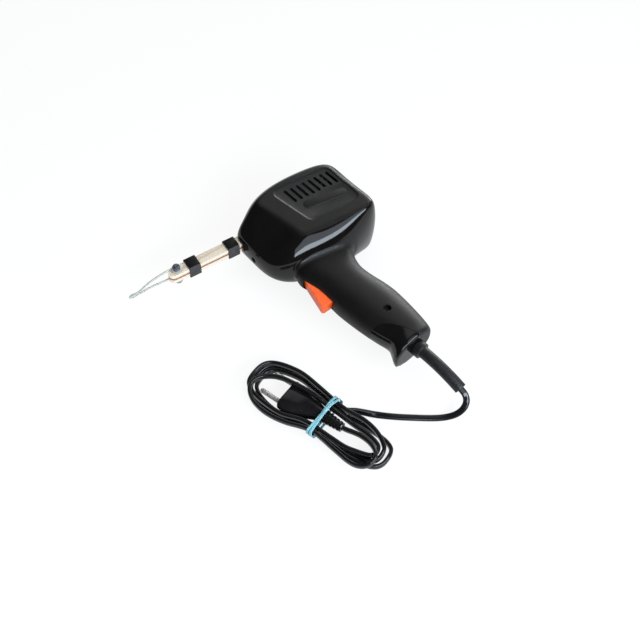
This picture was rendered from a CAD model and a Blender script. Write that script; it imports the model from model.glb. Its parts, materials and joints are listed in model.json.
"""Looks of the instant-heat soldering iron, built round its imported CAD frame."""

import json
import math

import bmesh
import bpy
import numpy as np
from mathutils import Matrix, Vector
from mathutils.bvhtree import BVHTree


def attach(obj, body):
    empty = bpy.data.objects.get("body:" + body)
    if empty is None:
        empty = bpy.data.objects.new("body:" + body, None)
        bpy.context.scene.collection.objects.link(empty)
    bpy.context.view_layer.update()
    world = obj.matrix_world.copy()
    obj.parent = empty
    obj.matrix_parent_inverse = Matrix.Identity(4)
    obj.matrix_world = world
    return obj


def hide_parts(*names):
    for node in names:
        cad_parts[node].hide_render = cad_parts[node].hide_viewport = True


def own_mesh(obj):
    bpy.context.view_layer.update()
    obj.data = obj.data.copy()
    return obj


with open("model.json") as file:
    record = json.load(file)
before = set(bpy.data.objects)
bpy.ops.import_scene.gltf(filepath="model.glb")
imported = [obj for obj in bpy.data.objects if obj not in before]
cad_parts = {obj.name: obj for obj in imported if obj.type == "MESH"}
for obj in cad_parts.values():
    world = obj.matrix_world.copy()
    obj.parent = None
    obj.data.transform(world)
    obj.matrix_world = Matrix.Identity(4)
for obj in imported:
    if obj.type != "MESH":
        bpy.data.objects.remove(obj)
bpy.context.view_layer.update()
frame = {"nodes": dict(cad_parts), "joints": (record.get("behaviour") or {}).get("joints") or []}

# Sizes are in millimetres. The gun's own coordinates have x to its back, y to its top and z to
# its left side, with the head's middle at the origin. The trigger's pivot ties them to the frame.
MM = 0.001
PIVOT = (-37, -46, 0)
HEAD_HALF = 28.5
WALL = 2.4
hinge = next(j for j in frame["joints"] if j["name"] == "trigger_pull")
MIDDLE = np.array(hinge["pos_m"]) - np.array(PIVOT) * MM
TO_FRAME = Matrix.Translation(Vector(MIDDLE)) @ Matrix.Scale(MM, 4)
MIRROR = Matrix.Scale(-1, 4, (0, 0, 1))


def from_table(points):
    """Metres in the frame, from millimetres with z measured from the table."""
    return np.asarray(points, float) * MM + MIDDLE * (1, 1, 0)


# Camera

CAMERA_AT = (-281.3, -435.1, 622.6)
CAMERA_TURN = (33.5, 55, 0.6)
LENS = 50.6
SENSOR = 36


def camera_axes(azimuth, elevation, roll):
    az, el, ro = (math.radians(a) for a in (azimuth, elevation, roll))
    right = Vector((math.cos(az), -math.sin(az), 0))
    ahead = Vector((math.sin(az) * math.cos(el), math.cos(az) * math.cos(el), -math.sin(el)))
    up = right.cross(ahead)
    return (
        right * math.cos(ro) + up * math.sin(ro),
        up * math.cos(ro) - right * math.sin(ro),
        ahead,
    )


def make_camera():
    right, up, ahead = camera_axes(*CAMERA_TURN)
    turn = Matrix((right, up, -ahead)).transposed().to_4x4()
    data = bpy.data.cameras.new("camera")
    data.sensor_width = SENSOR
    data.lens = LENS
    data.clip_start = 0.01
    camera = bpy.data.objects.new("camera", data)
    camera.matrix_world = Matrix.Translation(Vector(from_table(CAMERA_AT))) @ turn
    bpy.context.scene.collection.objects.link(camera)
    bpy.context.scene.camera = camera


make_camera()


# Curves and forms, all on numpy arrays

def mix(a, b, t):
    return a + (b - a) * t


def ease(t):
    s = np.clip(t, 0, 1)
    return s * s * (3 - 2 * s)


def signed_power(x, p):
    return np.sign(x) * np.abs(x) ** p


def between(a, b, c, d, t):
    """Point from b to c on the smooth curve through four points."""
    bend = 2 * a - 5 * b + 4 * c - d + t * (3 * (b - c) + d - a)
    return b + 0.5 * t * (c - a + t * bend)


def through(points, per):
    """Points of a smooth curve through every point of an open list."""
    p = np.asarray(points, float)
    out = []
    for i in range(len(p) - 1):
        near = p[max(i - 1, 0)], p[i], p[i + 1], p[min(i + 2, len(p) - 1)]
        out += [between(*near, k / per) for k in range(per)]
    out.append(p[-1])
    return np.array(out)


def closed_through(points, per):
    """The same round a closed ring."""
    p = np.asarray(points, float)
    n = len(p)
    out = []
    for i in range(n):
        near = p[i - 1], p[i], p[(i + 1) % n], p[(i + 2) % n]
        out += [between(*near, k / per) for k in range(per)]
    return np.array(out)


def closed_spline(points, count):
    """Points of a uniform cubic spline round a closed ring of control points."""
    p = np.asarray(points, float)
    n = len(p)
    out = []
    for k in range(count):
        s = k * n / count
        i = int(s)
        t = s - i
        a, b, c, d = (p[(i + j - 1) % n] for j in range(4))
        out.append(
            ((1 - t) ** 3 * a + (3 * t**3 - 6 * t * t + 4) * b
             + (3 * t + 3 * t * t - 3 * t**3 + 1) * c + t**3 * d) / 6
        )
    return np.array(out)


def bezier(a, b, c, d, t):
    return (1 - t) ** 3 * a + 3 * t * (1 - t) ** 2 * b + 3 * t * t * (1 - t) * c + t**3 * d


def five_curve(c, v):
    """Two smoothly joined cubic arcs over five control values."""
    m = (c[1] + 2 * c[2] + c[3]) / 4
    if v < 0.5:
        return bezier(c[0], c[1], (c[1] + c[2]) / 2, m, 2 * v)
    return bezier(m, (c[2] + c[3]) / 2, c[3], c[4], 2 * v - 1)


def round_angles(count, start=0.0):
    """Evenly spread angles of one turn."""
    return (np.arange(count) + start) * 2 * np.pi / count


def circle(x, y, r, count):
    w = round_angles(count)
    return np.stack([x + r * np.cos(w), y + r * np.sin(w)], 1)


def hull_outline(circles, grow=0.0):
    """Outline round several circles, each x, y and radius, grown outwards."""
    points = np.concatenate([circle(x, y, r + grow, 40) for x, y, r in circles])
    points = points[np.lexsort((points[:, 1], points[:, 0]))]

    def half(run):
        kept = []
        for p in run:
            while len(kept) > 1 and (
                (kept[-1][0] - kept[-2][0]) * (p[1] - kept[-2][1])
                - (kept[-1][1] - kept[-2][1]) * (p[0] - kept[-2][0])
            ) <= 1e-9:
                kept.pop()
            kept.append(p)
        return kept[:-1]

    return np.array(half(points) + half(points[::-1]))


def even_ring(points, count):
    """The same closed outline with its points spread evenly, from its farthest point in x."""
    p = np.asarray(points, float)
    p = np.roll(p, -int(np.argmax(p[:, 0])), axis=0)
    q = np.vstack([p, p[:1]])
    along = np.concatenate([[0], np.cumsum(np.linalg.norm(np.diff(q, axis=0), axis=1))])
    at = np.arange(count) * along[-1] / count
    return np.stack([np.interp(at, along, q[:, k]) for k in range(p.shape[1])], 1)


def at_height(outline, z):
    return np.column_stack([outline, np.full(len(outline), float(z))])


# Meshes

def added(name, data):
    """New object in the scene, with a mesh or a light as its data."""
    obj = bpy.data.objects.new(name, data)
    bpy.context.scene.collection.objects.link(obj)
    return obj


def make(name, points, faces):
    mesh = bpy.data.meshes.new(name)
    mesh.from_pydata([tuple(p) for p in points], [], faces)
    mesh.update()
    return added(name, mesh)


def made_of(name, bm):
    """New object in the scene from a bmesh, which is freed."""
    mesh = bpy.data.meshes.new(name)
    bm.to_mesh(mesh)
    bm.free()
    return added(name, mesh)


def loft(name, rings, closed=False):
    """Skin over rings with the same number of points, capped unless it closes on itself."""
    n = len(rings[0])
    m = len(rings)
    faces = []
    for j in range(m if closed else m - 1):
        a, b = j * n, (j + 1) % m * n
        faces += [(a + k, a + (k + 1) % n, b + (k + 1) % n, b + k) for k in range(n)]
    if not closed:
        faces += [tuple(range(n))[::-1], tuple(range((m - 1) * n, m * n))]
    obj = make(name, np.concatenate(rings), faces)
    outward(obj)
    return obj


def outward(obj):
    bm = bmesh.new()
    bm.from_mesh(obj.data)
    bmesh.ops.recalc_face_normals(bm, faces=bm.faces)
    bm.to_mesh(obj.data)
    bm.free()


def prism(name, outline, low, high):
    return loft(name, [at_height(outline, low), at_height(outline, high)])


def box(name, low, high):
    outline = [(low[0], low[1]), (high[0], low[1]), (high[0], high[1]), (low[0], high[1])]
    return prism(name, np.array(outline), low[2], high[2])


def revolve(name, profile, count):
    """Closed profile of radius and height pairs turned round z."""
    return loft(name, [at_height(circle(0, 0, r, count), z) for r, z in profile], closed=True)


def turned(obj, matrix):
    obj.data.transform(matrix)
    return obj


def joined(name, objects):
    """One object out of several, with each kept as an island."""
    bm = bmesh.new()
    for o in objects:
        bm.from_mesh(o.data)
    obj = made_of(name, bm)
    for o in objects:
        bpy.data.objects.remove(o)
    return obj


def settle(obj):
    """Applies the object's modifiers."""
    graph = bpy.context.evaluated_depsgraph_get()
    mesh = bpy.data.meshes.new_from_object(obj.evaluated_get(graph))
    obj.modifiers.clear()
    obj.data = mesh
    return obj


def cut(obj, tools):
    """Takes closed forms away from an object."""
    tool = joined("tool", tools)
    modifier = obj.modifiers.new("cut", "BOOLEAN")
    modifier.operation = "DIFFERENCE"
    modifier.solver = "EXACT"
    modifier.object = tool
    settle(obj)
    bpy.data.objects.remove(tool)


def remeshed(obj, size):
    modifier = obj.modifiers.new("remesh", "REMESH")
    modifier.mode = "VOXEL"
    modifier.voxel_size = size
    return settle(obj)


def coordinates(mesh):
    co = np.empty(len(mesh.vertices) * 3)
    mesh.vertices.foreach_get("co", co)
    return co.reshape(-1, 3)


def relax(obj, weights, rounds):
    """Moves each point towards the middle of its neighbours, by its weight."""
    mesh = obj.data
    co = coordinates(mesh)
    n = len(co)
    e = np.empty(len(mesh.edges) * 2, dtype=np.int32)
    mesh.edges.foreach_get("vertices", e)
    e = e.reshape(-1, 2)
    degree = np.maximum(np.bincount(e.ravel(), minlength=n), 1)
    for _ in range(rounds):
        for k in range(3):
            total = np.bincount(e[:, 0], co[e[:, 1], k], n)
            total += np.bincount(e[:, 1], co[e[:, 0], k], n)
            co[:, k] += weights * 0.6 * (total / degree - co[:, k])
    mesh.vertices.foreach_set("co", co.ravel())
    mesh.update()


def shade(obj, angle):
    """Smooth shading, with edges sharper than an angle in degrees kept."""
    mesh = obj.data
    mesh.polygons.foreach_set("use_smooth", [True] * len(mesh.polygons))
    mesh.set_sharp_from_angle(angle=math.radians(angle))
    return obj


# Materials

def tree(name):
    material = bpy.data.materials.new(name)
    material.use_nodes = True
    nodes = material.node_tree.nodes
    return material, material.node_tree, nodes["Principled BSDF"]


def link(net, a, b):
    net.links.new(a, b)


def number(net, operation, a, b=None):
    """Math node over numbers or sockets; gives its output."""
    node = net.nodes.new("ShaderNodeMath")
    node.operation = operation
    for i, value in enumerate((a, b)):
        if isinstance(value, (int, float)):
            node.inputs[i].default_value = value
        elif value is not None:
            link(net, value, node.inputs[i])
    return node.outputs[0]


def times(net, first, *others):
    """Product of numbers and sockets."""
    for other in others:
        first = number(net, "MULTIPLY", first, other)
    return first


def place(net):
    """Object coordinates in metres, as a socket."""
    return net.nodes.new("ShaderNodeTexCoord").outputs["Object"]


def gun_place(net):
    """The gun's own coordinates in millimetres, as three sockets."""
    mapping = net.nodes.new("ShaderNodeMapping")
    mapping.vector_type = "POINT"
    mapping.inputs["Location"].default_value = [-v / MM for v in MIDDLE]
    mapping.inputs["Scale"].default_value = (1 / MM,) * 3
    link(net, place(net), mapping.inputs["Vector"])
    split = net.nodes.new("ShaderNodeSeparateXYZ")
    link(net, mapping.outputs[0], split.inputs[0])
    return split.outputs


def facing_z(net):
    """How far the surface faces up or down the z axis, 0 to 1."""
    split = net.nodes.new("ShaderNodeSeparateXYZ")
    link(net, net.nodes.new("ShaderNodeTexCoord").outputs["Normal"], split.inputs[0])
    return number(net, "ABSOLUTE", split.outputs[2])


def step_up(net, value, low, high):
    """0 below low and 1 above high, smoothly."""
    node = net.nodes.new("ShaderNodeMapRange")
    node.interpolation_type = "SMOOTHSTEP"
    node.inputs["From Min"].default_value = low
    node.inputs["From Max"].default_value = high
    link(net, value, node.inputs["Value"])
    return node.outputs[0]


def step_down(net, value, low, high):
    """1 below low and 0 above high, smoothly."""
    return number(net, "SUBTRACT", 1, step_up(net, value, low, high))


def within(net, value, middle, inner, outer):
    """1 nearer than inner to a middle value and 0 farther off than outer."""
    away = number(net, "ABSOLUTE", number(net, "SUBTRACT", value, middle))
    return step_down(net, away, inner, outer)


def noise(net, scale, detail, stretch=(1, 1, 1)):
    """Noise over object coordinates; scale is its patches to the metre."""
    node = net.nodes.new("ShaderNodeTexNoise")
    node.inputs["Scale"].default_value = scale
    node.inputs["Detail"].default_value = detail
    mapping = net.nodes.new("ShaderNodeMapping")
    mapping.inputs["Scale"].default_value = stretch
    link(net, place(net), mapping.inputs["Vector"])
    link(net, mapping.outputs[0], node.inputs["Vector"])
    return node.outputs["Fac"]


def spread(net, value, low, high):
    """Noise stretched out to a range of values."""
    node = net.nodes.new("ShaderNodeMapRange")
    node.inputs["From Min"].default_value = 0.3
    node.inputs["From Max"].default_value = 0.7
    node.inputs["To Min"].default_value = low
    node.inputs["To Max"].default_value = high
    link(net, value, node.inputs["Value"])
    return node.outputs[0]


def colours(net, value, low, high):
    """Colour between two, each three numbers or a socket."""
    node = net.nodes.new("ShaderNodeMix")
    node.data_type = "RGBA"
    for name, colour in (("A", low), ("B", high)):
        if isinstance(colour, tuple):
            node.inputs[name].default_value = (*colour, 1)
        else:
            link(net, colour, node.inputs[name])
    link(net, value, node.inputs["Factor"])
    return node.outputs["Result"]


def patchy(net, scale, low, high, stretch=(1, 1, 1)):
    """Colour that varies gently between two."""
    return colours(net, spread(net, noise(net, scale, 3, stretch), 0, 1), low, high)


def bump(net, shader, height, distance):
    node = net.nodes.new("ShaderNodeBump")
    node.inputs["Distance"].default_value = distance
    node.inputs["Strength"].default_value = 1
    link(net, height, node.inputs["Height"])
    link(net, node.outputs[0], shader.inputs["Normal"])


def surface(name, low, high, rough, grain=900, grain_depth=0.00003, metallic=0.0):
    """Moulded or metal surface: colour and roughness vary gently, with a fine bumpy grain."""
    material, net, shader = tree(name)
    link(net, patchy(net, 45, low, high), shader.inputs["Base Color"])
    link(net, spread(net, noise(net, 160, 3), *rough), shader.inputs["Roughness"])
    shader.inputs["Metallic"].default_value = metallic
    shader.inputs["IOR"].default_value = 1.5
    bump(net, shader, noise(net, grain, 2), grain_depth)
    return material


def housing_material():
    """Glossy black plastic, satin on the flat side and on the grip."""
    material, net, shader = tree("housing_black")
    x, y, z = gun_place(net)
    level = number(net, "ABSOLUTE", z)
    flat = times(net, step_up(net, facing_z(net), 0.86, 0.97), step_up(net, level, 25, 27.5))
    # The sunk panel is satin on its lip and on the plate's edges too
    panel = times(net, within(net, x, 6, 31, 33), within(net, y, 7, 24, 26))
    flat = number(net, "MAXIMUM", flat, times(net, panel, step_up(net, level, 25, 26)))
    # The grip's grain starts under the head and leaves the front corner of its end smooth
    neck = times(net, step_down(net, y, -39, -37.5), step_down(net, level, 15.5, 17))
    rear = number(net, "ADD", x, times(net, y, 1.2))
    neck = times(net, neck, step_down(net, rear, -32, -26))
    bow = number(net, "ADD", x, 26)
    stop = step_up(net, number(net, "ADD", y, times(net, bow, bow, 0.035)), -124, -122)
    satin = number(net, "MAXIMUM", flat, times(net, neck, stop))
    polish = spread(net, noise(net, 120, 3), 0.05, 0.1)
    dull = spread(net, noise(net, 700, 3), 0.36, 0.5)
    rough = net.nodes.new("ShaderNodeMix")
    link(net, satin, rough.inputs["Factor"])
    link(net, polish, rough.inputs["A"])
    link(net, dull, rough.inputs["B"])
    # What lies under the panel's floor, such as the slots' walls, doesn't shine
    sunk = times(net, panel, step_up(net, level, 20, 21), step_down(net, level, 27.2, 27.5))
    rough = number(net, "MAXIMUM", rough.outputs["Result"], times(net, sunk, 0.9))
    link(net, rough, shader.inputs["Roughness"])
    black = patchy(net, 60, (0.0028, 0.0024, 0.0024), (0.0045, 0.0038, 0.0036))
    # The panel's floor is a shade greyer than the plastic round it
    sill = times(net, panel, step_up(net, level, 27.3, 27.5), step_down(net, level, 27.8, 28.1))
    link(net, colours(net, sill, black, (0.011, 0.011, 0.0112)), shader.inputs["Base Color"])
    shader.inputs["IOR"].default_value = 1.46
    grain = times(net, noise(net, 1700, 2), number(net, "ADD", times(net, satin, 0.96), 0.04))
    bump(net, shader, grain, 0.00012)
    return material


def bar_material():
    """Pale plated copper drawn along its length, brown in the narrow gap, bright on outer edges."""
    material, net, shader = tree("bar_copper")
    level = number(net, "ABSOLUTE", gun_place(net)[2])
    drawn = (0.06, 1, 1)
    plate = patchy(net, 45, (0.88, 0.74, 0.56), (1, 0.89, 0.73), drawn)
    plate = colours(net, step_down(net, level, 0.9, 1.6), plate, (0.56, 0.36, 0.25))
    rim = times(net, step_up(net, level, 3.5, 3.9), step_down(net, level, 4.25, 4.3))
    link(net, colours(net, rim, plate, (1, 0.94, 0.86)), shader.inputs["Base Color"])
    link(net, spread(net, noise(net, 160, 3, drawn), 0.2, 0.34), shader.inputs["Roughness"])
    shader.inputs["Metallic"].default_value = 0.4
    bump(net, shader, noise(net, 1400, 2, drawn), 0.00003)
    return material


def clip_material():
    """Grained black plastic, rubbed grey on the sides that stand up from the table."""
    material, net, shader = tree("clip_black")
    top = step_up(net, facing_z(net), 0.6, 0.9)
    rubbed = patchy(net, 60, (0.04, 0.04, 0.042), (0.056, 0.055, 0.058))
    black = patchy(net, 60, (0.001, 0.001, 0.001), (0.003, 0.003, 0.003))
    link(net, colours(net, top, rubbed, black), shader.inputs["Base Color"])
    link(net, spread(net, noise(net, 160, 3), 0.5, 0.7), shader.inputs["Roughness"])
    shader.inputs["IOR"].default_value = 1.35
    bump(net, shader, noise(net, 1500, 2), 0.00012)
    return material


def stripes(name, low, high, rough, pitch, axis, depth, metallic=0.0):
    """Surface ribbed by thin plates or turns of wire at a pitch in millimetres."""
    material, net, shader = tree(name)
    split = net.nodes.new("ShaderNodeSeparateXYZ")
    link(net, place(net), split.inputs[0])
    wave = number(net, "SINE", times(net, split.outputs[axis], 2 * math.pi / (pitch * MM)))
    height = number(net, "ADD", times(net, wave, 0.5), times(net, noise(net, 500, 2), 0.4))
    link(net, colours(net, height, low, high), shader.inputs["Base Color"])
    link(net, spread(net, noise(net, 200, 2), *rough), shader.inputs["Roughness"])
    shader.inputs["Metallic"].default_value = metallic
    bump(net, shader, height, depth)
    return material


def glass_material():
    """Clear glass of the work lamp."""
    material, net, shader = tree("bulb_glass")
    shader.inputs["Transmission Weight"].default_value = 1
    shader.inputs["IOR"].default_value = 1.45
    shader.inputs["Base Color"].default_value = (0.97, 0.97, 0.93, 1)
    link(net, spread(net, noise(net, 300, 2), 0.02, 0.08), shader.inputs["Roughness"])
    return material


def see_through(shader, weight, radius, scale):
    """Lets light some way into the surface."""
    shader.inputs["Subsurface Weight"].default_value = weight
    shader.inputs["Subsurface Radius"].default_value = radius
    shader.inputs["Subsurface Scale"].default_value = scale


def band_material():
    """Pale blue rubber, a little see-through at its edges."""
    material, net, shader = tree("band_rubber")
    patches = spread(net, noise(net, 220, 4), 0, 1)
    link(net, colours(net, patches, (0.16, 0.4, 0.47), (0.24, 0.5, 0.57)), shader.inputs["Base Color"])
    link(net, spread(net, noise(net, 500, 2), 0.4, 0.55), shader.inputs["Roughness"])
    see_through(shader, 0.25, (0.4, 0.8, 1), 0.001)
    bump(net, shader, noise(net, 1500, 3, (1, 1, 0.3)), 0.00008)
    return material


def trigger_material():
    """Orange plastic."""
    material, net, shader = tree("trigger_orange")
    orange = patchy(net, 90, (0.84, 0.1, 0.016), (0.93, 0.135, 0.024))
    link(net, orange, shader.inputs["Base Color"])
    link(net, spread(net, noise(net, 400, 2), 0.28, 0.4), shader.inputs["Roughness"])
    see_through(shader, 0.12, (1, 0.35, 0.1), 0.0015)
    bump(net, shader, noise(net, 1800, 2), 0.00004)
    return material


HOUSING = housing_material()
CORD = surface("cord_vinyl", (0.004, 0.004, 0.0045), (0.008, 0.008, 0.009), (0.05, 0.11), 500, 0.00001)
RELIEF = surface(
    "relief_rubber", (0.006, 0.006, 0.0065), (0.011, 0.011, 0.012), (0.34, 0.46), 1500, 0.00005)
PLUG = surface("plug_vinyl", (0.005, 0.0045, 0.005), (0.009, 0.008, 0.009), (0.06, 0.13), 700, 0.00001)
CLIP = clip_material()
COPPER = bar_material()
STEEL = surface("zinc_steel", (0.5, 0.52, 0.55), (0.66, 0.68, 0.7), (0.24, 0.36), metallic=0.6)
SCREW = surface("screw_steel", (0.12, 0.13, 0.15), (0.24, 0.26, 0.3), (0.2, 0.34), metallic=0.8)
TIN = surface("tip_tin", (0.4, 0.42, 0.39), (0.5, 0.52, 0.49), (0.4, 0.55), 800, 0.000006, 0.2)
PIN = surface("pin_nickel", (0.66, 0.64, 0.6), (0.8, 0.78, 0.74), (0.16, 0.26), 900, 0.00002, 0.75)
ORANGE = trigger_material()
BAND = band_material()
CORE = stripes(
    "core_plates", (0.006, 0.006, 0.006), (0.02, 0.019, 0.018), (0.55, 0.75), 0.7, 0, 0.0001)
PAPER = surface("hard_paper", (0.2, 0.09, 0.035), (0.28, 0.13, 0.05), (0.45, 0.6))
FINISHES = {
    "switch_body": surface("switch_black", (0.02, 0.02, 0.022), (0.035, 0.035, 0.037), (0.4, 0.55)),
    "switch_plunger": surface("plunger_white", (0.7, 0.68, 0.6), (0.8, 0.78, 0.7), (0.35, 0.5)),
    "switch_tags": surface(
        "tag_brass", (0.7, 0.48, 0.18), (0.82, 0.6, 0.28), (0.25, 0.4), metallic=1.0),
    "core_e_plates": CORE,
    "core_i_plates": CORE,
    "bobbin": surface("bobbin_nylon", (0.72, 0.68, 0.55), (0.82, 0.78, 0.66), (0.4, 0.55)),
    "primary_coil": stripes(
        "coil_copper", (0.35, 0.09, 0.02), (0.75, 0.3, 0.1), (0.2, 0.35), 0.45, 1, 0.00012, 0.9),
    "rear_bridge": COPPER,
    "bar_holder": PAPER,
    "lamp_holder": PAPER,
    "lamp_bulb": glass_material(),
    "wire_live": surface("wire_brown", (0.16, 0.06, 0.02), (0.2, 0.08, 0.03), (0.35, 0.45)),
    "wire_neutral": surface("wire_blue", (0.03, 0.09, 0.4), (0.05, 0.12, 0.48), (0.35, 0.45)),
    "cord_clamp": surface("clamp_white", (0.7, 0.7, 0.68), (0.8, 0.8, 0.78), (0.4, 0.55)),
    "cord_tail": CORD,
    "trigger_pin": STEEL,
    "clamp_screws": STEEL,
    "housing_screws": surface(
        "black_steel", (0.05, 0.05, 0.055), (0.11, 0.11, 0.12), (0.25, 0.4), metallic=1.0),
}
for name, finish in FINISHES.items():
    slots = frame["nodes"][name].data.materials
    slots.clear()
    slots.append(finish)


def placed(obj, material, body, nodes):
    """Gives a finished piece its material, body, CAD nodes and record slot."""
    obj.data.materials.clear()
    obj.data.materials.append(material)
    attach(obj, body)
    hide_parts(*nodes)
    return obj


# Cord: the route of the free stretch, then the hank's loops, as in the part's source

CORD_W = 5.4
CORD_T = 3.5
END = (-1.5, -151)
RAKE = math.radians(11)
RELIEF_FLANGE = 6.5
RELIEF_RADIUS = 114
RELIEF_ANGLE = math.radians(21)
HANK = (-90.8, -154.8)
HANK_TURN = math.radians(-69.5)
CORD_ROUTE = [
    (8.3, -201.6, 19.2), (8.2, -204.8, 16.6), (6.4, -207.4, 13.2), (2.8, -208.6, 9.6),
    (-2.2, -208, 6.2), (-8.2, -205.4, 3.7), (-15, -201.4, 2.3), (-23, -196, 1.85),
    (-31, -190.4, 1.8), (-39.5, -184.3, 1.8), (-47.5, -178, 1.8), (-55, -171.7, 2.1),
    (-61, -166.1, 2.8), (-66, -161.4, 3.4),
]
TOP_LOOP = [
    (10, 7.2, 11.6), (4, 7, 13), (-1, 6.9, 13.7), (-5.5, 6.9, 14.9), (-11, 6.9, 16.9),
    (-20, 6.4, 18), (-32, 5, 18.4),
    (-43, 3.2, 18.5), (-50.6, 0, 18.5), (-56.6, -4.8, 18.4), (-60, -10.6, 18.2), (-60, -16.4, 17.6),
    (-56.8, -21, 16.4), (-50.6, -24.4, 14.4), (-41.7, -25.8, 12.2), (-31.9, -25, 10.4),
    (-20, -22.3, 9.6), (-10, -18.8, 9.9), (0, -16.4, 10.1), (10, -17, 9.8), (18, -18, 9.2),
    (28, -19.3, 8.9), (36, -20.3, 8.9), (43.4, -20, 9.4), (49.4, -17.8, 11.2), (53, -14, 13.6),
    (53.6, -9.4, 14.9), (51.4, -5, 14.6), (47, -1.4, 13), (40.6, 1.3, 11.5), (32.4, 2.4, 10),
    (25, 1.6, 9), (20.4, 0.7, 8.4),
]
NECK_END = 17
PLUG_Z = 8.25
LANE_STEP = CORD_T + 0.6
LEVEL_STEP = CORD_W + 0.5
HANK_LEFT = (67.5, 23.4, -1.2)
HANK_RIGHT = (58.5, 18.2, -1.3)
HANK_WAIST = (14.4, -0.75)
HANK_LEAN = 2.3
LANE_SHIFTS = ((0.8, 1), (1.8, -1), (2.3, 1), (2.5, 1))  # turns, lanes inwards
HANK_TURNS = (-0.007, 2.945)
CORD_STEP = 1.2
SPAN_POINTS = 6
TWIST_LONG = 42


def swung(points, at, angle):
    """Points turned about z and then moved to a place, with their heights kept."""
    p = np.asarray(points, float)
    c, s = math.cos(angle), math.sin(angle)
    x = at[0] + p[..., 0] * c - p[..., 1] * s
    y = at[1] + p[..., 0] * s + p[..., 1] * c
    return np.stack([x, y, p[..., 2]], -1)


def in_hank(points):
    """Head's plan in millimetres from along, across and above the hank."""
    return swung(points, HANK, HANK_TURN)


def at_end(points):
    """Gun's coordinates from those at the handle's end face: across, inwards and to the left."""
    return swung(points, END, RAKE)


def hank_point(turns):
    """One point of the hank's loops: turns counts from where the cord passes the band."""
    inset = LANE_STEP * sum(lanes * ease((turns - start) / 0.15) for start, lanes in LANE_SHIFTS)
    level = ease((turns - 1.6) / 0.18)
    w = math.pi / 2 + 2 * math.pi * turns
    c, s = signed_power(math.cos(w), 0.75), signed_power(math.sin(w), 0.62)
    end = HANK_LEFT if c < 0 else HANK_RIGHT
    u = (end[0] - inset) * c
    full = 1 - math.exp(-u * u / 420)
    v = (mix(HANK_WAIST[0], end[1], full) - inset) * s + mix(HANK_WAIST[1], end[2], full)
    v += HANK_LEAN * (1 - level)
    lift = 1.7 * math.exp(-u * u / 200) + (2.2 * c * c * level if c < 0 else 0)
    return (u, v, CORD_W / 2 + 0.05 + lift + LEVEL_STEP * level)


def mouth_point():
    """Where the cord leaves the strain relief."""
    along = RELIEF_FLANGE + RELIEF_RADIUS * math.sin(RELIEF_ANGLE)
    x, y, _ = at_end((0, -along, 0))
    return (x, y, HEAD_HALF - RELIEF_RADIUS * (1 - math.cos(RELIEF_ANGLE)))


def cord_line():
    """Centre line of the whole cord in the head's plan, and how far along it goes on edge."""
    loops = [hank_point(t) for t in np.linspace(*HANK_TURNS, 72)]
    hank = in_hank(loops + TOP_LOOP + [(NECK_END - 3, 0.2, PLUG_Z)])
    line = through(np.vstack([[mouth_point()], CORD_ROUTE, hank]), SPAN_POINTS)
    along = np.concatenate([[0], np.cumsum(np.linalg.norm(np.diff(line, axis=0), axis=1))])
    count = int(along[-1] / CORD_STEP)
    at = np.linspace(0, along[-1], count + 1)
    even = np.stack([np.interp(at, along, line[:, k]) for k in range(3)], 1)
    kernel = np.exp(-np.linspace(-2, 2, 9) ** 2)
    kernel /= kernel.sum()
    padded = np.vstack([even[:1]] * 4 + [even] + [even[-1:]] * 4)
    soft = np.stack([np.convolve(padded[:, k], kernel, "valid") for k in range(3)], 1)
    soft[0], soft[-1] = even[0], even[-1]
    edge = along[SPAN_POINTS * (len(CORD_ROUTE) + 1)]
    return soft, at, edge


def swept(name, line, profile):
    """Tube along a line: profile gives each ring's offsets, from its index."""
    rings = []
    n = len(line)
    for i in range(n):
        t = line[min(i + 1, n - 1)] - line[max(i - 1, 0)]
        t = t / np.linalg.norm(t)
        side = np.array([-t[1], t[0], 0]) / max(np.hypot(t[0], t[1]), 1e-9)
        up = np.cross(t, side)
        offsets = profile(i)
        rings.append(line[i] + offsets[:, :1] * side + offsets[:, 1:] * up)
    return loft(name, rings)


def twin_section(angle):
    """Flat two-core section: rounded edges, and a shallow groove along each broad side."""
    w = round_angles(24, 0.5)
    x = CORD_W / 2 * signed_power(np.cos(w), 0.85)
    y = CORD_T / 2 * signed_power(np.sin(w), 0.8)
    y = y * (1 - 0.16 * np.exp(-(x / 0.55) ** 2))
    c, s = math.cos(angle), math.sin(angle)
    return np.stack([x * c - y * s, x * s + y * c], 1)


def make_cord():
    """The cord, flat on the table and then turned on edge just before the hank."""
    line, at, edge = cord_line()
    angles = -math.pi / 2 * ease((at - edge + TWIST_LONG) / TWIST_LONG)
    points = from_table(line)
    obj = swept("flex", points, lambda i: twin_section(angles[i]) * MM)
    shade(obj, 60)
    placed(obj, CORD, "gun", ["cord", "cord_hank"])
    length = float(np.linalg.norm(np.diff(points, axis=0), axis=1).sum())
    return obj, points, length


flex, flex_path, flex_length = make_cord()


# Plug and its pins

PLUG_STATIONS = [
    # along, across, half width, half thickness, squareness
    (-35.5, -2.1, 11.6, 5.2, 0.42), (-35.1, -2.2, 12.6, 6.2, 0.42), (-33.8, -2.4, 13.4, 6.7, 0.45),
    (-30, -2.5, 13.6, 6.85, 0.5), (-26, -2.4, 13.2, 6.8, 0.52), (-20, -2, 11.6, 6.7, 0.56),
    (-14, -1.2, 9.4, 6.2, 0.6), (-8, -0.4, 7.4, 5.7, 0.7), (-3, 0.1, 6, 5.4, 0.85),
    (0, 0.3, 5.6, 5.3, 0.95),
]
NECK_RIBS = 5
RIB_PITCH = 3.2
RIB = ((0, 0), (1.9, 0.1), (2.1, 0.9), (2.9, 1))  # along, less radius
NECK_ACROSS = 0.3
PLUG_FLOOR = 1.4


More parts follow.
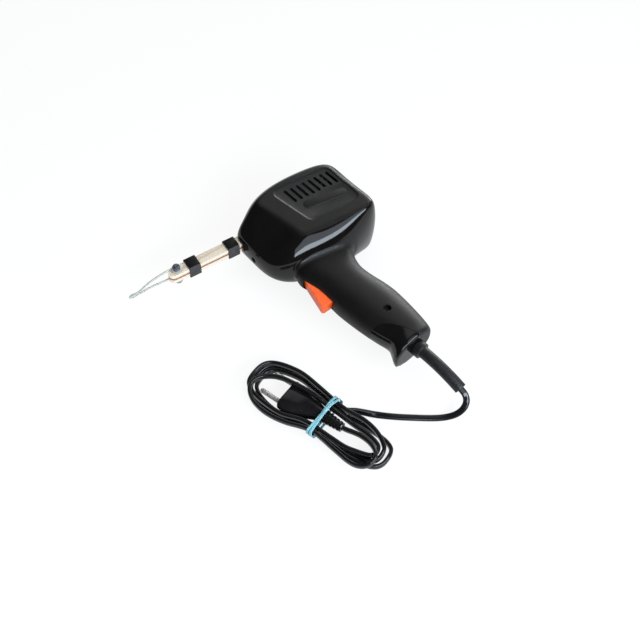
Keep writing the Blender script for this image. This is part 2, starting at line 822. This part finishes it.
def superellipse(station):
    """Section of the plug at one of its stations."""
    along, across, half_w, half_t, power = station
    w = round_angles(40, 0.5)
    return np.stack([
        np.full(len(w), along),
        across + half_w * signed_power(np.cos(w), power),
        PLUG_Z + half_t * signed_power(np.sin(w), power),
    ], 1)


def plug_rings():
    stations = [tuple(s) for s in through(PLUG_STATIONS, 4)]
    for k in range(NECK_RIBS):
        u = 0.6 + k * RIB_PITCH
        r = 5.3 - 0.28 * k
        stations += [(u + on, NECK_ACROSS, r - less, r - less, 1) for on, less in RIB]
    stations += [(NECK_END - 0.6, NECK_ACROSS, 4, 4, 1), (NECK_END, NECK_ACROSS, 3.6, 3.6, 1)]
    rings = [superellipse(s) for s in stations]
    # The underside slopes up to the side that lies on the cord
    for ring in rings:
        floor = PLUG_FLOOR + np.clip((-6.8 - ring[:, 1]) * 0.75, 0, 8)
        ring[:, 2] = np.maximum(ring[:, 2], np.where(ring[:, 0] < -2, floor, PLUG_FLOOR))
    return [from_table(in_hank(r)) for r in rings]


plug = shade(loft("plug_moulding", plug_rings()), 40)
placed(plug, PLUG, "gun", ["plug_body"])


def softened(node, name, width, segments=2, angle=30):
    """A CAD node's form with its edges rounded over."""
    bm = bmesh.new()
    bm.from_mesh(frame["nodes"][node].data)
    bmesh.ops.remove_doubles(bm, verts=bm.verts, dist=2e-6)
    bmesh.ops.dissolve_limit(bm, angle_limit=math.radians(1), verts=bm.verts, edges=bm.edges)
    least = math.radians(angle)
    sharp = [e for e in bm.edges if len(e.link_faces) == 2 and e.calc_face_angle(0) > least]
    bmesh.ops.bevel(bm, geom=sharp, offset=width * MM, segments=segments, profile=0.5, affect="EDGES",
                    clamp_overlap=True)
    return shade(made_of(name, bm), 32)


pins = placed(softened("plug_pins", "plug_pin_pair", 0.25), PIN, "gun", ["plug_pins"])


# Rubber band: two turns, side by side at both edges of the hank and one over the other on top

BAND_LINE = [
    # across, above, along of the first turn, along of the second turn
    (-15.4, 0.5, -1.6, 1.6), (0, 0.45, -1.6, 1.6), (18.3, 0.5, -1.6, 1.6), (20.1, 2.2, -1.6, 1.8),
    (20.1, 5.8, -1.6, 2), (18, 11.8, -1.5, 2.1), (16.6, 13.9, -1.4, 2), (12.6, 15.8, -1.2, 1.7),
    (8.8, 17.5, -0.9, 1.2), (5.2, 17.5, -0.6, 0.8), (-2, 15.6, -0.5, 0.5), (-9, 14.9, -0.9, 0.7),
    (-17.1, 13.8, -1.6, 1), (-19.2, 12.8, -1.8, 1.1), (-19.5, 8.1, -1.8, 1.3), (-16.5, 4, -1.7, 1.5),
    (-16.4, 1.5, -1.6, 1.6),
]


BAND_HALF = (1.15, 0.45)


def band_turn(name, column, rise):
    """One turn of the band, from its column in the list, moved by rise where the turns cross."""
    ring = closed_through([(p[column], p[0], p[1]) for p in BAND_LINE], 6)
    n = len(ring)
    rings = []
    for i in range(n):
        t = ring[(i + 1) % n] - ring[i - 1]
        t /= np.linalg.norm(t)
        wide = np.array([1, 0, 0]) - t * t[0]
        wide /= np.linalg.norm(wide)
        out = np.cross(wide, t)
        lift = rise * math.exp(-((ring[i][1] + 1) / 9) ** 2) * (ring[i][2] > 10)
        w = round_angles(12, 0.5)
        half_w = BAND_HALF[0] + 0.12 * math.sin(i * 0.21 + column)
        x = half_w * signed_power(np.cos(w), 0.5)
        y = BAND_HALF[1] * signed_power(np.sin(w), 0.6)
        rings.append(ring[i] + out * lift + x[:, None] * wide + y[:, None] * out)
    return loft(name, [from_table(in_hank(r)) for r in rings], closed=True)


band = joined("band_turns", [band_turn("a", 2, 0), band_turn("b", 3, -0.85)])
placed(shade(band, 50), BAND, "gun", ["rubber_band"])


# Housing: both shells come out of one form with rounded joints, cut at the parting plane

PARTING = [
    (-64.5, -19), (-66, 4), (-69, 22), (-55, 27), (-44, 39.5), (-17, 46.5), (20, 47), (41.5, 42),
    (45.5, 22), (48.5, -6), (51.5, -27), (25, -39), (0, -44.5), (-36, -41.5), (-57, -33),
]
FLAT = [
    (-30.5, -16), (-36, 0), (-41, 16), (-46.5, 28.5), (-30, 33.5), (-12, 36), (14, 35.5), (35.5, 33),
    (34.5, 17), (39.5, -7), (45.5, -30), (26, -28.5), (0, -27.5), (-20, -27.5), (-29.5, -27.5),
]
ROW_LOW = [7, 8, 8, 9, 11, 13, 13, 13, 13, 9, 8, 9, 11, 9, 7]
ROW_HIGH = [15, 15, 15, 17, 22, 25, 25, 25, 25, 25, 25, 25, 25, 22, 17]
ROW_IN = [0.12, 0.12, 0.12, 0.16, 0.3, 0.42, 0.42, 0.42, 0.42, 0.42, 0.42, 0.42, 0.42, 0.3, 0.16]
FLAT_SHARE = 0.93
HEAD_CENTRE = (-4, 1)
HEAD_REACH = (58, 46)
PARTING_GAP = 0.06
END_ROUND = 4.5
HANDLE = [
    # y, front x, rear x, half width
    (-24, -36, 16, 11.5), (-36, -43, 13.5, 12.2), (-47, -45.8, 9.5, 13), (-55, -42.8, 6.6, 13.5),
    (-65, -39, 5.8, 14), (-76, -37, 8, 14.4), (-88, -35.8, 12, 14.7), (-100, -33.2, 15, 14.9),
    (-114, -29.4, 16.4, 14.9), (-128, -24.9, 17.1, 14.7), (-139, -20.8, 17, 14.5),
    (-146, -22.4, 16.5, 14.7), (-153, -25, 16, 15), (-162, -27.5, 15.6, 15.2),
]


def head_form(inset, sides, steps):
    """The head, the same on both sides of the parting plane."""
    centre = np.array(HEAD_CENTRE)
    size = 1 - inset / np.array(HEAD_REACH)
    high = HEAD_HALF - inset
    share = high / HEAD_HALF
    parting = centre + (np.array(PARTING) - centre) * size
    flat = centre + (np.array(FLAT) - centre) * size
    inward = np.array(ROW_IN)[:, None]
    rows = [
        at_height(parting, 0),
        np.column_stack([parting, np.array(ROW_LOW) * share]),
        np.column_stack([mix(parting, flat, inward), np.array(ROW_HIGH) * share]),
        at_height(flat, high),
        at_height(mix(centre, flat, FLAT_SHARE), high),
    ]
    curves = [closed_spline(row, sides) for row in rows]
    left = [five_curve(curves, s / steps) for s in range(steps + 1)]
    right = [ring * (1, 1, -1) for ring in left[1:]]
    return loft("head", left[::-1] + right)


def edges_of(found):
    """The edges that a cut by a plane has made."""
    return [g for g in found["geom_cut"] if isinstance(g, bmesh.types.BMEdge)]


def handle_form(inset, sides):
    """The handle, cut off square to its rake at the end face."""
    rings = []
    w = round_angles(sides)
    for y, front, rear, half in through(HANDLE, 5):
        rings.append(np.stack([
            (front + rear) / 2 + ((rear - front) / 2 - inset) * signed_power(np.cos(w), 0.82),
            np.full(sides, y),
            (half - inset) * signed_power(np.sin(w), 0.82),
        ], 1))
    obj = loft("handle", rings)
    bm = bmesh.new()
    bm.from_mesh(obj.data)
    below = Vector((math.sin(RAKE), -math.cos(RAKE), 0))
    found = bmesh.ops.bisect_plane(
        bm, geom=bm.verts[:] + bm.edges[:] + bm.faces[:], plane_co=Vector(at_end((0, inset, 0))),
        plane_no=below, clear_outer=True,
    )
    bmesh.ops.contextual_create(bm, geom=edges_of(found))
    bm.to_mesh(obj.data)
    bm.free()
    outward(obj)
    return obj


def tree_of(obj):
    points = [tuple(p) for p in coordinates(obj.data)]
    return BVHTree.FromPolygons(points, [tuple(p.vertices) for p in obj.data.polygons])


def gun_form(inset, voxel, blend):
    """Head and handle as one solid, with the crease between them filled over blend millimetres."""
    head = head_form(inset, 120, 28)
    handle = handle_form(inset, 72)
    near = [tree_of(head), tree_of(handle)]
    form = remeshed(joined("form", [head, handle]), voxel)
    relax(form, np.full(len(form.data.vertices), 0.5), 4)
    if blend:
        points = [Vector(p) for p in coordinates(form.data)]
        away = np.array([max(t.find_nearest(p)[3] for t in near) for p in points])
        relax(form, ease(1.25 - away / blend), 45)
        relax(form, np.full(len(form.data.vertices), 0.5), 3)
    return form


def half_of(form, side):
    """The half of a closed form on one side of the parting plane, with its rim filled."""
    bm = bmesh.new()
    bm.from_mesh(form.data)
    found = bmesh.ops.bisect_plane(
        bm, geom=bm.verts[:] + bm.edges[:] + bm.faces[:], plane_co=(0, 0, PARTING_GAP * side),
        plane_no=(0, 0, side), clear_inner=True,
    )
    bmesh.ops.triangle_fill(bm, use_beauty=True, edges=edges_of(found))
    bmesh.ops.recalc_face_normals(bm, faces=bm.faces)
    return made_of("half", bm)


def rod(x, y, r, low, high):
    return prism("rod", circle(x, y, r, 32), low, high)


def rod_along(start, end, r):
    """Cylinder between two points."""
    a, b = Vector(start), Vector(end)
    obj = rod(0, 0, r, 0, (b - a).length)
    turn = Vector((0, 0, 1)).rotation_difference(b - a).to_matrix().to_4x4()
    return turned(obj, Matrix.Translation(a) @ turn)


PANEL = [(-18.5, 23.5, 5), (26.5, 24, 4), (30.5, -9, 4.5), (-9, -9, 5)]
PLATE = [(-5, 1.6, 4.2), (26, -2.2, 4.2)]
PANEL_LIP = [
    # outset, lower side's outset more, height
    (3.6, 2.6, 29.4), (1.9, 1.6, 28.5), (1.5, 1.3, 28.4), (0.3, 0.3, 27.7), (0, 0, 27.6),
]
PLATE_TOP = [
    # grown by, height
    (0.3, 27), (0.3, 27.75), (0.12, 28), (-0.2, 28.08),
]
SLOTS = 8
SLOT_PITCH = 6
SLOT_SIZE = (2.7, 16.5)
FIRST_SLOT = (-13.6, 17.2)
SCREWS = [
    # x, y, side, top of the socket's lining
    (-20, -20, -1, 27.4), (36, -18, -1, 27.4), (32.5, 26, -1, 26.6), (-6, -116, 1, 13.7),
]
BAR_Y = 16
BAR_HIGH = 10
BAR_FRONT = -134


def panel_pocket():
    """Sunk panel with a soft lip, wider along its lower and front edges."""
    rings = []
    for outset, lip, z in PANEL_LIP:
        circles = [(x, y - (lip if y < 0 else 0), r) for x, y, r in PANEL]
        rings.append(at_height(even_ring(hull_outline(circles, outset), 120), z))
    return loft("pocket", rings)


def slot_cutters():
    """The eight cooling slots, through the wall."""
    half = (SLOT_SIZE[1] - SLOT_SIZE[0]) / 2
    tilt = RAKE - math.radians(2)
    up = np.array([-math.sin(tilt), math.cos(tilt)])
    cutters = []
    for i in range(SLOTS):
        middle = np.array([FIRST_SLOT[0] + i * SLOT_PITCH, FIRST_SLOT[1]])
        ends = [(*(middle + s * half * up), SLOT_SIZE[0] / 2) for s in (-1, 1)]
        cutters.append(prism("slot", hull_outline(ends), 20, 31))
    return cutters


def plate_form():
    """Blank raised plate on the panel's floor."""
    rings = []
    for grow, z in PLATE_TOP:
        rings.append(at_height(even_ring(hull_outline(PLATE, grow), 90), z))
    return loft("plate", rings)


def socket_form(x, y, top):
    """Lining of a screw's socket, from its foot up into the shell's wall."""
    outer, inner, hole = 4.3, 3.27, 1.5
    foot, floor = 6, 9.5
    profile = [
        (outer, foot), (outer, top), (inner, top), (inner, floor), (hole, floor), (hole, foot),
    ]
    return turned(revolve("socket", profile, 32), Matrix.Translation((x, y, 0)))


def shell(form, side, name):
    """One shell of the housing: the half form with its openings cut, and its linings."""
    half = half_of(form, side)
    low_bar = BAR_Y - BAR_HIGH / 2
    first = [
        panel_pocket(),
        box("slot", (-60, -83.4, -1), (-30, -50.5, 5.5)),
        box("nose", (-80, low_bar - 0.4, -1), (-60, low_bar + BAR_HIGH + 0.4, 4.7)),
        rod_along(at_end((0, -3, 0)), at_end((0, 9, 0)), 4.6),
    ]
    second = slot_cutters() + [
        box("root", (-43.2, -51, -1), (-36, -44, 5.6)),
        rod_along((-80, -6, 0), (-60.5, -6, 0), 2.7),
    ]
    sockets = [(x, y, top) for x, y, opens_to, top in SCREWS if opens_to == side]
    second += [rod(x, y, 3.3, 8, 40) for x, y, _ in sockets]
    linings = [socket_form(*socket) for socket in sockets] + [plate_form()]
    if side < 0:
        for tool in first + second + linings:
            turned(tool, MIRROR)
            outward(tool)
    cut(half, first)
    cut(half, second)
    return shade(turned(joined(name, [half] + linings), TO_FRAME), 32)


def rounded_end(form):
    """Rounds the grip over where its sides meet the end face."""
    co = coordinates(form.data)
    along = np.array(at_end((0, 1, 0))) - np.array(at_end((0, 0, 0)))
    depth = (co - np.array(at_end((0, 0, 0)))) @ (along / np.linalg.norm(along))
    grip = co[:, 1] < -100
    edge = np.where(grip, np.clip((END_ROUND - np.abs(depth)) / 3, 0, 1), 0)
    relax(form, edge, 14)
    relax(form, np.where(co[:, 0] < -24, edge, 0), 30)


def make_housing():
    """Both shells, from an outer form and an inner one inside it."""
    outer = gun_form(0, 1.1, 2.5)
    rounded_end(outer)
    inner = gun_form(WALL, 1.8, 0)
    for polygon in inner.data.polygons:
        polygon.flip()
    form = joined("walls", [outer, inner])
    left = shell(form, 1, "shell_left")
    right = shell(form, -1, "shell_right")
    bpy.data.objects.remove(form)
    placed(left, HOUSING, "gun", ["housing_left"])
    placed(right, HOUSING, "gun", ["housing_right"])


make_housing()


# Trigger, barrel and strain relief: the CAD forms with their edges rounded

placed(softened("trigger", "trigger_lever", 0.7, 3), ORANGE, "trigger", ["trigger"])
for side in ("left", "right"):
    bar = softened(f"conductor_{side}", f"bar_{side}", 0.35)
    placed(bar, COPPER, "gun", [f"conductor_{side}"])
for end in ("front", "rear"):
    clip = softened(f"clip_{end}", f"spacer_{end}", 0.3)
    placed(clip, CLIP, "gun", [f"clip_{end}"])
placed(softened("tip_screws", "tip_screw_pair", 0.3), SCREW, "gun", ["tip_screws"])
placed(softened("tip_washers", "tip_washer_pair", 0.12), STEEL, "gun", ["tip_washers"])
relief = softened("strain_relief", "relief_sleeve", 0.45, 3, 50)
placed(relief, RELIEF, "gun", ["strain_relief"])


# Return spring: five turns between the trigger's back and a rib, shorter when the trigger is pulled

SPRING_FRONT = (-30.55, -56, 0)
SPRING_LONG = 9.25
SPRING_TURNS = 5
SPRING_RADIUS = 2.3
SPRING_WIRE = 0.35


def make_spring():
    w = np.arange(SPRING_TURNS * 24 + 1) * 2 * np.pi / 24
    out = np.stack([np.zeros_like(w), np.cos(w), np.sin(w)], 1)
    line = np.array(SPRING_FRONT) + SPRING_RADIUS * out
    line[:, 0] += SPRING_LONG * w / w[-1]
    along = np.gradient(line, axis=0)
    along /= np.linalg.norm(along, axis=1)[:, None]
    up = np.cross(along, out)
    section = circle(0, 0, SPRING_WIRE, 12)
    rings = [line[i] + section[:, :1] * out[i] + section[:, 1:] * up[i] for i in range(len(w))]
    coil = turned(loft("return_coil", rings), TO_FRAME)
    placed(shade(coil, 50), STEEL, "gun", ["trigger_spring"])
    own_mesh(coil)


make_spring()


# Soldering tip: two legs of one wire, which meet in a small bead of solder

TIP_END = -171
WIRE_R = 0.8
EYE = 2 + WIRE_R + 0.15
WIRE_Z = 0.5 + 3.8 + WIRE_R + 0.05
BEAD = [
    # radius, along
    (0.02, 0), (0.7, 0.2), (1.2, 1), (1.7, 3), (1.7, 4.5), (1.2, 6.5), (0.05, 7.5),
]


def tip_leg(side):
    """One leg: an eye round its screw, then the way down to the tip's middle."""
    screw = BAR_FRONT + 8
    eye = []
    for degrees in range(-20, 91, 11):
        w = math.radians(degrees)
        eye.append((screw + EYE * math.cos(w), BAR_Y + EYE * math.sin(w), WIRE_Z))
    path = eye + [
        (BAR_FRONT - 2, BAR_Y + EYE - 0.2, WIRE_Z), (-150, 17.8, 3.3), (TIP_END + 10, 15.4, 1.4),
        (TIP_END + 4, 15.1, 0.7),
    ]
    section = circle(0, 0, WIRE_R, 16)
    leg = swept("leg", through(path, 5), lambda i: section)
    if side < 0:
        turned(leg, MIRROR)
        outward(leg)
    return leg


def tip_point():
    """The bead at the tip's end."""
    rings = [
        np.column_stack([np.full(24, TIP_END + x), circle(15, 0, r, 24)])
        for r, x in through(BEAD, 4)
    ]
    return loft("point", rings)


tip = turned(joined("tip_loop", [tip_leg(1), tip_leg(-1), tip_point()]), TO_FRAME)
placed(shade(tip, 50), TIN, "gun", ["tip_wire"])


# Floor and light

FLOOR = 3
LAMP_AWAY = 0.9
WINDOW_AT = Vector((0.02, 0.03, 0.05))


def floor_material():
    """White paper: bright where it is looked at, greyer in reflections, with a faint shadow."""
    material, net, shader = tree("floor_white")
    rays = net.nodes.new("ShaderNodeLightPath")
    camera = rays.outputs["Is Camera Ray"]
    mirror = number(net, "MAXIMUM", rays.outputs["Is Glossy Ray"], rays.outputs["Is Transmission Ray"])
    patches = spread(net, noise(net, 6, 2), 0, 1)
    grey = colours(net, patches, (0.42, 0.42, 0.42), (0.46, 0.46, 0.46))
    link(net, colours(net, camera, grey, (0.93, 0.93, 0.93)), shader.inputs["Base Color"])
    shader.inputs["Roughness"].default_value = 0.9
    shader.inputs["Specular IOR Level"].default_value = 0.1
    glow = net.nodes.new("ShaderNodeEmission")
    glow.inputs["Strength"].default_value = 1
    blend = net.nodes.new("ShaderNodeMixShader")
    link(net, number(net, "ADD", times(net, camera, 0.85), times(net, mirror, 0.5)), blend.inputs[0])
    link(net, shader.outputs[0], blend.inputs[1])
    link(net, glow.outputs[0], blend.inputs[2])
    link(net, blend.outputs[0], net.nodes["Material Output"].inputs["Surface"])
    return material


def make_floor():
    corners = [(FLOOR * x, FLOOR * y, 0) for x, y in ((-1, -1), (1, -1), (1, 1), (-1, 1))]
    floor = make("floor", corners, [(0, 1, 2, 3)])
    floor.data.materials.append(floor_material())


def toward(azimuth, elevation):
    """Direction from angles in degrees."""
    az, el = math.radians(azimuth), math.radians(elevation)
    return (math.cos(az) * math.cos(el), math.sin(az) * math.cos(el), math.sin(el))


def patch(net, direction, azimuth, elevation, inner, outer):
    """Round soft patch of sky: 1 within inner degrees of a direction and 0 beyond outer."""
    node = net.nodes.new("ShaderNodeVectorMath")
    node.operation = "DOT_PRODUCT"
    node.inputs[1].default_value = toward(azimuth, elevation)
    link(net, direction, node.inputs[0])
    low, high = (math.cos(math.radians(a)) for a in (outer, inner))
    return step_up(net, node.outputs["Value"], low, high)


def make_world():
    """Dim room with a broad soft light behind the object, and plain white where it is looked at."""
    world = bpy.data.worlds.new("studio")
    world.use_nodes = True
    net = world.node_tree
    background = net.nodes["Background"]
    rays = net.nodes.new("ShaderNodeLightPath")
    direction = net.nodes.new("ShaderNodeTexCoord").outputs["Generated"]
    back = times(net, patch(net, direction, 56, 44, 8, 24), 0.7)
    side = times(net, patch(net, direction, 5, 30, 10, 40), 0.3)
    edge = times(net, patch(net, direction, -5, 70, 3, 9), 2.5)
    low = times(net, patch(net, direction, 36, 5, 8, 24), 7)
    room = number(net, "ADD", number(net, "ADD", back, side), number(net, "MAXIMUM", edge, low))
    room = number(net, "ADD", room, 0.06)
    # Diffuse surfaces get a plain level from all round
    soft = rays.outputs["Is Diffuse Ray"]
    plain_sky = times(net, soft, 0.4)
    mirror_sky = times(net, number(net, "SUBTRACT", 1, soft), room)
    lit = number(net, "ADD", plain_sky, mirror_sky)
    seen = number(net, "MAXIMUM", rays.outputs["Is Camera Ray"], rays.outputs["Is Transmission Ray"])
    link(net, number(net, "MAXIMUM", seen, lit), background.inputs["Strength"])
    background.inputs["Color"].default_value = (1, 1, 1, 1)
    bpy.context.scene.world = world


def lamp(name, place_at, aim, size, power, colour=(1, 1, 1)):
    data = bpy.data.lights.new(name, "AREA")
    data.shape = "RECTANGLE"
    data.size, data.size_y = size
    data.energy = power
    data.color = colour
    obj = added(name, data)
    obj.location = place_at
    obj.rotation_euler = (Vector(aim) - Vector(place_at)).to_track_quat("-Z", "Y").to_euler()
    return obj


make_floor()
make_world()
top_light = lamp("overhead", (0.1, 0.35, 1.2), (0, 0, 0), (1.0, 0.8), 3)
top_light.visible_glossy = False
fill_light = lamp("fill", Vector(toward(-130, 20)) * LAMP_AWAY, (0, 0, 0), (0.6, 0.3), 3)
fill_light.visible_glossy = False
for elevation, size, power in ((50, (1.0, 0.37), 2.6), (31, (1.0, 0.24), 8)):
    spot = WINDOW_AT + Vector(toward(-80, elevation)) * LAMP_AWAY
    lamp("window", spot, WINDOW_AT, size, power, (0.8, 0.9, 1))

bpy.context.scene.view_settings.view_transform = "Standard"


bpy.context.view_layer.update()
